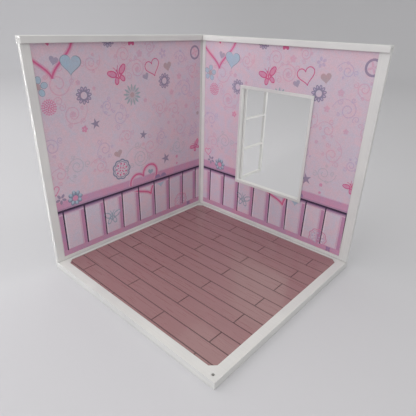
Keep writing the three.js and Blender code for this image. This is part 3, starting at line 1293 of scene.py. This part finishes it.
    def draw_flowers(self, art: Artwork) -> None:
        """Draws the flowers, doilies, stars and rings.

        Args:
            art: The artwork to paint on.
        """
        art.petals((12.6, 162.3), 5.3, 3.1, 2.7, 5, 82, Ink.BLUE_EDGE)
        art.petals((12.6, 162.3), 5.4, 2.7, 2.3, 5, 82, Ink.BLUE)
        art.disc((12.6, 162.3), 2.5, Ink.TAN)
        art.pompom((19.2, 145.6), 6.6, Ink.PINK, Ink.PINK_SOFT, Ink.GROUND)
        for centre, radius, turn in (
            ((52.2, 151.8), 7.9, 4),
            ((146.1, 156.8), 7.8, 15),
            ((81.5, 196.6), 6.8, 0),
        ):
            art.daisy(centre, radius, turn, Ink.GREY_DARK, Ink.LILAC_FAINT)
        art.burst((104.3, 147), 10.3, 8, Ink.MINT, Ink.GREEN_FAINT, Ink.TAN)
        art.petals((144.6, 183.2), 3.0, 1.9, 1.4, 5, 35, Ink.LILAC_FAINT)
        art.stroke(oval((190.8, 182.6), 6.2, 6.2, 0, 28), 2.0, Ink.GREY, closed=True)
        art.petals((190.8, 182.6), 2.6, 2.3, 1.0, 4, 20, Ink.PINK_FAINT)
        art.petals((106.5, 196.2), 3.4, 2.2, 1.7, 6, 0, Ink.PINK)
        art.star((60.8, 125.6), 5.4, 8, Ink.GREY_DARK)
        art.star((115.2, 105.6), 5.2, -12, Ink.GREY_DARK)
        art.star((145.2, 73.6), 6.4, 14, Ink.GREY)
        art.petals((49.2, 122.6), 1.9, 1.4, 1.2, 5, 0, Ink.PINK_SOFT)
        art.doily((85.2, 75.2), 10.6, 1.5, Ink.SLATE, Ink.PINK)
        art.petals((31, 60), 5.0, 2.8, 2.1, 8, 10, Ink.SLATE)
        art.petals((31, 60.4), 5.2, 1.9, 1.3, 8, 10, Ink.TEAL)
        art.petals((31, 61.2), 5.4, 1.5, 1.1, 8, 10, Ink.BLUE)
        art.disc((31, 60), 2.8, Ink.PINK_SOFT)
        art.petals((17, 63), 3.2, 2.2, 1.3, 5, 50, Ink.GREY)
        art.doily((167.5, 14.5), 10.2, 1.0, Ink.PINK_SOFT, Ink.LILAC_FAINT)
        art.petals((180.6, 6.6), 1.7, 1.4, 1.2, 4, 45, Ink.BLUE_ON_BAND)

    def draw_butterflies(self, art: Artwork) -> None:
        """Draws the butterflies.

        Args:
            art: The artwork to paint on.
        """
        art.butterfly((89.6, 166.8), 21, 19, Ink.PINK, Ink.PINK_SOFT)
        art.butterfly((192.4, 78.6), 16, 32, Ink.PINK, Ink.PINK_SOFT)
        art.butterfly((69.0, 27.0), 20, -4, Ink.TEAL, Ink.BOARD)

    def draw_lines(self, art: Artwork) -> None:
        """Draws the dark lines between boards and along the dado's top, a little unevenly.

        Args:
            art: The artwork to paint on.
        """
        chance = random.Random(self.seed)
        half = self.board_line_mm / 2
        low, high = self.skirting_top_mm - self.line_drop_mm, self.boards_top_mm
        for reach, ink in ((3.4, Ink.STRIP_FADE), (2.2, Ink.LINE_FADE), (1.0, Ink.LINE_SHADOW)):
            art.box(0, self.width_mm, high - reach, high, ink)
        for line in self.board_lines():
            wide = half * chance.uniform(*self.line_widths)
            lean = chance.uniform(-self.line_lean_mm, self.line_lean_mm)
            foot = half * chance.uniform(*self.foot_widths)
            art.fill(
                [
                    (line - foot - lean, low),
                    (line + foot - lean, low),
                    (line + wide + lean, high),
                    (line - wide + lean, high),
                ],
                Ink.LINE,
            )
        top = high + self.rail_line_mm
        art.box(0, self.width_mm, top, top + self.rail_fade_mm, Ink.LINE_FADE)
        art.box(0, self.width_mm, high, top, Ink.LINE)


@dataclass
class PaperedWall:
    """One wall's sheet of printed paper, cut from the pattern and round any window."""

    INK: ClassVar[str] = "ink"
    SNAPS_PER_MM: ClassVar[float] = 1e3
    CUT_ERROR_MM: ClassVar[float] = 1e-4
    INSIDE_ONLY: ClassVar[int] = 1  # keeps only what lies inside an outline

    node: str
    body: str
    facing: Vector
    print_start_mm: float  # how far along the pattern the sheet's left edge is
    print_bottom_mm: float = 3.8

    def frame(self) -> Matrix:
        """Gives where the pattern's millimetres lie on the sheet's front face.

        Returns:
            A matrix from pattern millimetres to the CAD model's frame.
        """
        low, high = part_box(self.node)
        up = Vector((0, 0, 1))
        across = up.cross(self.facing)
        corner = Vector(
            [
                h if f > 0.5 or a < -0.5 else l
                for l, h, f, a in zip(low, high, self.facing, across)
            ]
        )
        corner.z = low.z
        start = corner - across * self.print_start_mm * MM - up * self.print_bottom_mm * MM
        place = Matrix((across * MM, up * MM, self.facing * MM)).transposed().to_4x4()
        place.translation = start
        return place

    def sheet_parts(self, place: Matrix) -> list[Outline]:
        """Gives the sheet as rectangles in pattern millimetres, so that a window stays open.

        Args:
            place: The matrix from frame().

        Returns:
            Outlines that cover the sheet and nothing else.
        """
        back = place.inverted()
        flat = [back @ v.co for v in bpy.data.objects[self.node].data.vertices]
        snaps = self.SNAPS_PER_MM
        across = sorted({round(p.x * snaps) / snaps for p in flat})
        up = sorted({round(p.y * snaps) / snaps for p in flat})
        (left, right), (low, high) = (across[0], across[-1]), (up[0], up[-1])
        if len(across) < 4:
            return [[(left, low), (right, low), (right, high), (left, high)]]
        a, b, c, d = across[1], across[-2], up[1], up[-2]
        strips = [(left, a, low, high), (b, right, low, high), (a, b, low, c), (a, b, d, high)]
        return [[(l, f), (r, f), (r, t), (l, t)] for l, r, f, t in strips]

    def build(self, art: Artwork) -> bpy.types.Mesh:
        """Cuts the artwork to the sheet as one flat printed face and gives the sheet its thickness.

        Args:
            art: The printed pattern.

        Returns:
            The finished mesh, with an ink for each face.
        """
        place = self.frame()
        parts = self.sheet_parts(place)
        outlines = parts + [outline for outline, _ in art.shapes]
        points, faces = [], []
        for outline in outlines:
            faces.append(list(range(len(points), len(points) + len(outline))))
            points.extend(Vector(p) for p in outline)
        made = delaunay_2d_cdt(points, [], faces, self.INSIDE_ONLY, self.CUT_ERROR_MM, True)
        corners, triangles, sources = made[0], made[2], made[5]
        shape = bmesh.new()
        ink = shape.faces.layers.float_color.new(self.INK)
        low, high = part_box(self.node)
        thickness = min(high - low)
        verts = [shape.verts.new(place @ Vector((p.x, p.y, 0))) for p in corners]
        for triangle, source in zip(triangles, sources):
            if not any(s < len(parts) for s in source):
                continue
            top = max((s for s in source if s >= len(parts)), default=None)
            face = shape.faces.new([verts[i] for i in triangle])
            printed = Ink.PLAIN if top is None else art.shapes[top - len(parts)][1]
            face[ink] = linear(printed.value)
        loose = [v for v in shape.verts if not v.link_faces]
        bmesh.ops.delete(shape, geom=loose, context="VERTS")
        shape.normal_update()
        front = list(shape.faces)
        if front[0].normal.dot(self.facing) < 0:
            bmesh.ops.reverse_faces(shape, faces=front)
        made = bmesh.ops.extrude_face_region(shape, geom=front, use_keep_orig=True)
        moved = [v for v in made["geom"] if isinstance(v, bmesh.types.BMVert)]
        bmesh.ops.translate(shape, verts=moved, vec=-self.facing * thickness)
        for face in set(shape.faces) - set(front):
            face[ink] = linear(Ink.PLAIN.value)
        bmesh.ops.recalc_face_normals(shape, faces=shape.faces)
        mesh = bpy.data.meshes.new(self.node)
        shape.to_mesh(mesh)
        shape.free()
        return mesh

    def dress(self, art: Artwork, paper: bpy.types.Material) -> bpy.types.Object:
        """Makes the finished sheet.

        Args:
            art: The printed pattern.
            paper: The paper's material.

        Returns:
            The finished piece.
        """
        piece = add_object(f"printed_{self.node}", self.build(art), paper)
        hand_over(piece, self.body, [self.node])
        return piece


# ---- Hinge pins ------------------------------------------------------------------------------


@dataclass
class HingePin:
    """A short wire pin with eased ends."""

    node: str
    body: str
    corners: int = 32
    ease_mm: float = 0.12
    ease_share: float = 0.3  # where the eased edge's middle lies between its two ends

    def build(self) -> bpy.types.Mesh:
        """Turns the pin about its own axis.

        Returns:
            The finished mesh.
        """
        low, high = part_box(self.node)
        centre = (low + high) / 2
        radius, ease = (high.x - low.x) / 2, self.ease_mm * MM
        profile = [
            (radius - ease, low.z),
            (radius - ease * self.ease_share, low.z + ease * self.ease_share),
            (radius, low.z + ease),
            (radius, high.z - ease),
            (radius - ease * self.ease_share, high.z - ease * self.ease_share),
            (radius - ease, high.z),
        ]
        shape = bmesh.new()
        rings = []
        steps = [i * math.tau / self.corners for i in range(self.corners)]
        for reach, height in profile:
            places = [(centre.x + reach * math.cos(s), centre.y + reach * math.sin(s)) for s in steps]
            rings.append([shape.verts.new((*place, height)) for place in places])
        for under, over in zip(rings, rings[1:]):
            for i in range(self.corners):
                j = (i + 1) % self.corners
                shape.faces.new((under[i], under[j], over[j], over[i]))
        shape.faces.new(rings[0][::-1])
        shape.faces.new(rings[-1])
        mesh = bpy.data.meshes.new(self.node)
        shape.to_mesh(mesh)
        shape.free()
        return mesh

    def dress(self, wire: bpy.types.Material) -> bpy.types.Object:
        """Makes the finished pin.

        Args:
            wire: The wire's material.

        Returns:
            The finished piece.
        """
        piece = add_object(f"turned_{self.node}", self.build(), wire, SMOOTH_DEGREES)
        hand_over(piece, self.body, [self.node])
        return piece


# ---- Studio ----------------------------------------------------------------------------------


@dataclass(frozen=True)
class Lamp:
    """A soft rectangular light."""

    name: str
    place: tuple[float, float, float]
    size: Point  # width and height
    power: float
    colour: str
    aim: tuple[float, float, float] = (0.0, 0.0, 0.08)
    spread_degrees: float = 180.0

    def hang(self) -> None:
        """Puts the light in the scene, facing its aim and hidden from the camera."""
        light = bpy.data.lights.new(self.name, "AREA")
        light.shape = "RECTANGLE"
        light.size, light.size_y = self.size
        light.energy, light.color = self.power, linear(self.colour)[:3]
        light.spread = math.radians(self.spread_degrees)
        lamp = bpy.data.objects.new(self.name, light)
        lamp.location = self.place
        facing = Vector(self.aim) - Vector(self.place)
        lamp.rotation_euler = facing.to_track_quat("-Z", "Y").to_euler()
        lamp.visible_camera = False
        bpy.context.scene.collection.objects.link(lamp)


LAMPS = (
    Lamp("front_light", (-0.05, -1.0, 0.42), (0.55, 0.55), 1.7, "#FDFCFF"),
    Lamp("left_light", (-0.90, -0.60, 0.55), (0.8, 0.8), 2.4, "#FFFCFA"),
    Lamp("right_light", (0.85, -0.75, 0.85), (0.9, 0.9), 1.05, "#FFFCFA"),
    # A narrow beam from behind that brightens the left leaf only.
    Lamp("window_light", (0.085, 0.31, 0.16), (0.12, 0.12), 0.035, "#FFFFFF", (-0.03, 0.12, 0.115), 55.0),
    # A narrow upright beam that evens out the window wall beside the corner.
    Lamp("corner_light", (-0.03, -0.95, 0.42), (0.06, 0.26), 0.02, "#FFFFFF", (-0.112, 0.1, 0.105), 11.0),
)


@dataclass
class Studio:
    """A pale floor that curves up all round, soft lights and the camera."""

    floor_rings: tuple[float, ...] = (0.4, 0.9, 1.6)
    curve_radius: float = 0.6
    curve_steps: int = 12
    wall_height: float = 1.5
    sides: int = 96
    smooth_degrees: float = 60.0
    sky: str = "#FFFEFB"
    sky_strength: float = 0.87
    camera_place: Vector = field(default_factory=lambda: Vector((0.2169, -0.2382, 0.2191)))
    camera_turn: float = 41.301
    camera_dip: float = 26.137
    camera_roll: float = 1.683
    lens_mm: float = 33.47
    sensor_mm: float = 36.0
    shift: Point = (-0.00955, 0.00991)
    clip: Point = (0.01, 20.0)

    def build(self) -> None:
        """Makes the floor, the lights, the sky and the camera."""
        self.make_floor()
        for lamp in LAMPS:
            lamp.hang()
        self.make_sky()
        self.make_camera()

    def make_floor(self) -> None:
        """Turns the floor's profile round the room box."""
        edge = self.floor_rings[-1]
        profile = [(reach, 0.0) for reach in self.floor_rings]
        for i in range(1, self.curve_steps + 1):
            a = i * math.pi / (2 * self.curve_steps)
            rise = self.curve_radius * (1 - math.cos(a))
            profile.append((edge + self.curve_radius * math.sin(a), rise))
        profile.append((edge + self.curve_radius, self.wall_height))
        shape = bmesh.new()
        middle = shape.verts.new((0, 0, 0))
        rings = []
        steps = [i * math.tau / self.sides for i in range(self.sides)]
        for reach, height in profile:
            places = [(reach * math.cos(s), reach * math.sin(s)) for s in steps]
            rings.append([shape.verts.new((*place, height)) for place in places])
        for i in range(self.sides):
            shape.faces.new((middle, rings[0][i], rings[0][(i + 1) % self.sides]))
        for inner, outer in zip(rings, rings[1:]):
            for i in range(self.sides):
                j = (i + 1) % self.sides
                shape.faces.new((inner[i], outer[i], outer[j], inner[j]))
        mesh = bpy.data.meshes.new("studio_floor")
        shape.to_mesh(mesh)
        shape.free()
        floor = add_object("studio_floor", mesh, StudioPaper().make(), self.smooth_degrees)

    def make_sky(self) -> None:
        """Fills the room with soft, even light."""
        world = bpy.data.worlds.new("studio_sky")
        world.use_nodes = True
        world.node_tree.nodes.clear()
        glow = add_node(
            world.node_tree, "ShaderNodeBackground", None,
            {"Color": linear(self.sky), "Strength": self.sky_strength},
        )
        add_node(world.node_tree, "ShaderNodeOutputWorld", None, {"Surface": glow.outputs[0]})
        bpy.context.scene.world = world

    def make_camera(self) -> None:
        """Sets up the camera, looking down into the open corner of the room."""
        turn, dip = math.radians(self.camera_turn), math.radians(self.camera_dip)
        roll, flat = math.radians(self.camera_roll), math.cos(dip)
        forward = Vector((-math.sin(turn) * flat, math.cos(turn) * flat, -math.sin(dip)))
        level = Vector((math.cos(turn), math.sin(turn), 0))
        upright = level.cross(forward)
        right = level * math.cos(roll) + upright * math.sin(roll)
        up = right.cross(forward)
        camera = bpy.data.cameras.new("viewing_camera")
        camera.lens, camera.sensor_width = self.lens_mm, self.sensor_mm
        camera.shift_x, camera.shift_y = self.shift
        camera.clip_start, camera.clip_end = self.clip
        holder = bpy.data.objects.new("viewing_camera", camera)
        holder.matrix_world = Matrix((right, up, -forward)).transposed().to_4x4()
        holder.location = self.camera_place
        bpy.context.scene.collection.objects.link(holder)
        bpy.context.scene.camera = holder


# ---- Assembly --------------------------------------------------------------------------------


def printed_parts() -> list[PrintedPart]:
    """Lists the white printed parts.

    Returns:
        The parts, from the base up.
    """
    box, left, right = "box", "left_leaf", "right_leaf"
    return [
        PrintedPart("base_plate", box, LineRun.ALONG_X, 0.45),
        PrintedPart("side_wall", box, LineRun.UPRIGHT, 0.3),
        PrintedPart("window_wall", box, LineRun.UPRIGHT, 0.3),
        PrintedPart("side_cap_rail", box, LineRun.ALONG_Y, 0.5),
        PrintedPart("window_cap_rail", box, LineRun.ALONG_X, 0.5),
        PrintedPart("window_casing", box, LineRun.ALONG_X, 0.3),
        PrintedPart("window_frame", box, LineRun.ALONG_X, 0.35),
        PrintedPart("left_casement_leaf", left, LineRun.UPRIGHT, 0.3),
        PrintedPart("right_casement_leaf", right, LineRun.UPRIGHT, 0.3),
    ]


def main() -> None:
    """Builds the whole model in order and reports each piece."""
    logging.basicConfig(level=logging.INFO, format="%(name)s: %(message)s")
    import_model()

    plastics = {run: FusedFilament(run).make() for run in LineRun}
    for part in printed_parts():
        part.dress(plastics)
    PlankFloor().dress(ScoredBoard().make())
    paper = PrintedPaper().make()
    art = DressingUpPrint().draw()
    PaperedWall("side_wallpaper", "box", Vector((1, 0, 0)), 11.7).dress(art, paper)
    PaperedWall("window_wallpaper", "box", Vector((0, -1, 0)), 5.1).dress(art, paper)
    wire = DrawnWire().make()
    for side in ("left", "right"):
        for level in ("lower", "upper"):
            HingePin(f"{side}_{level}_hinge_pin", f"{side}_leaf").dress(wire)
    Studio().build()
    bpy.context.scene.view_settings.view_transform = "Standard"


if __name__ == "__main__":
    main()
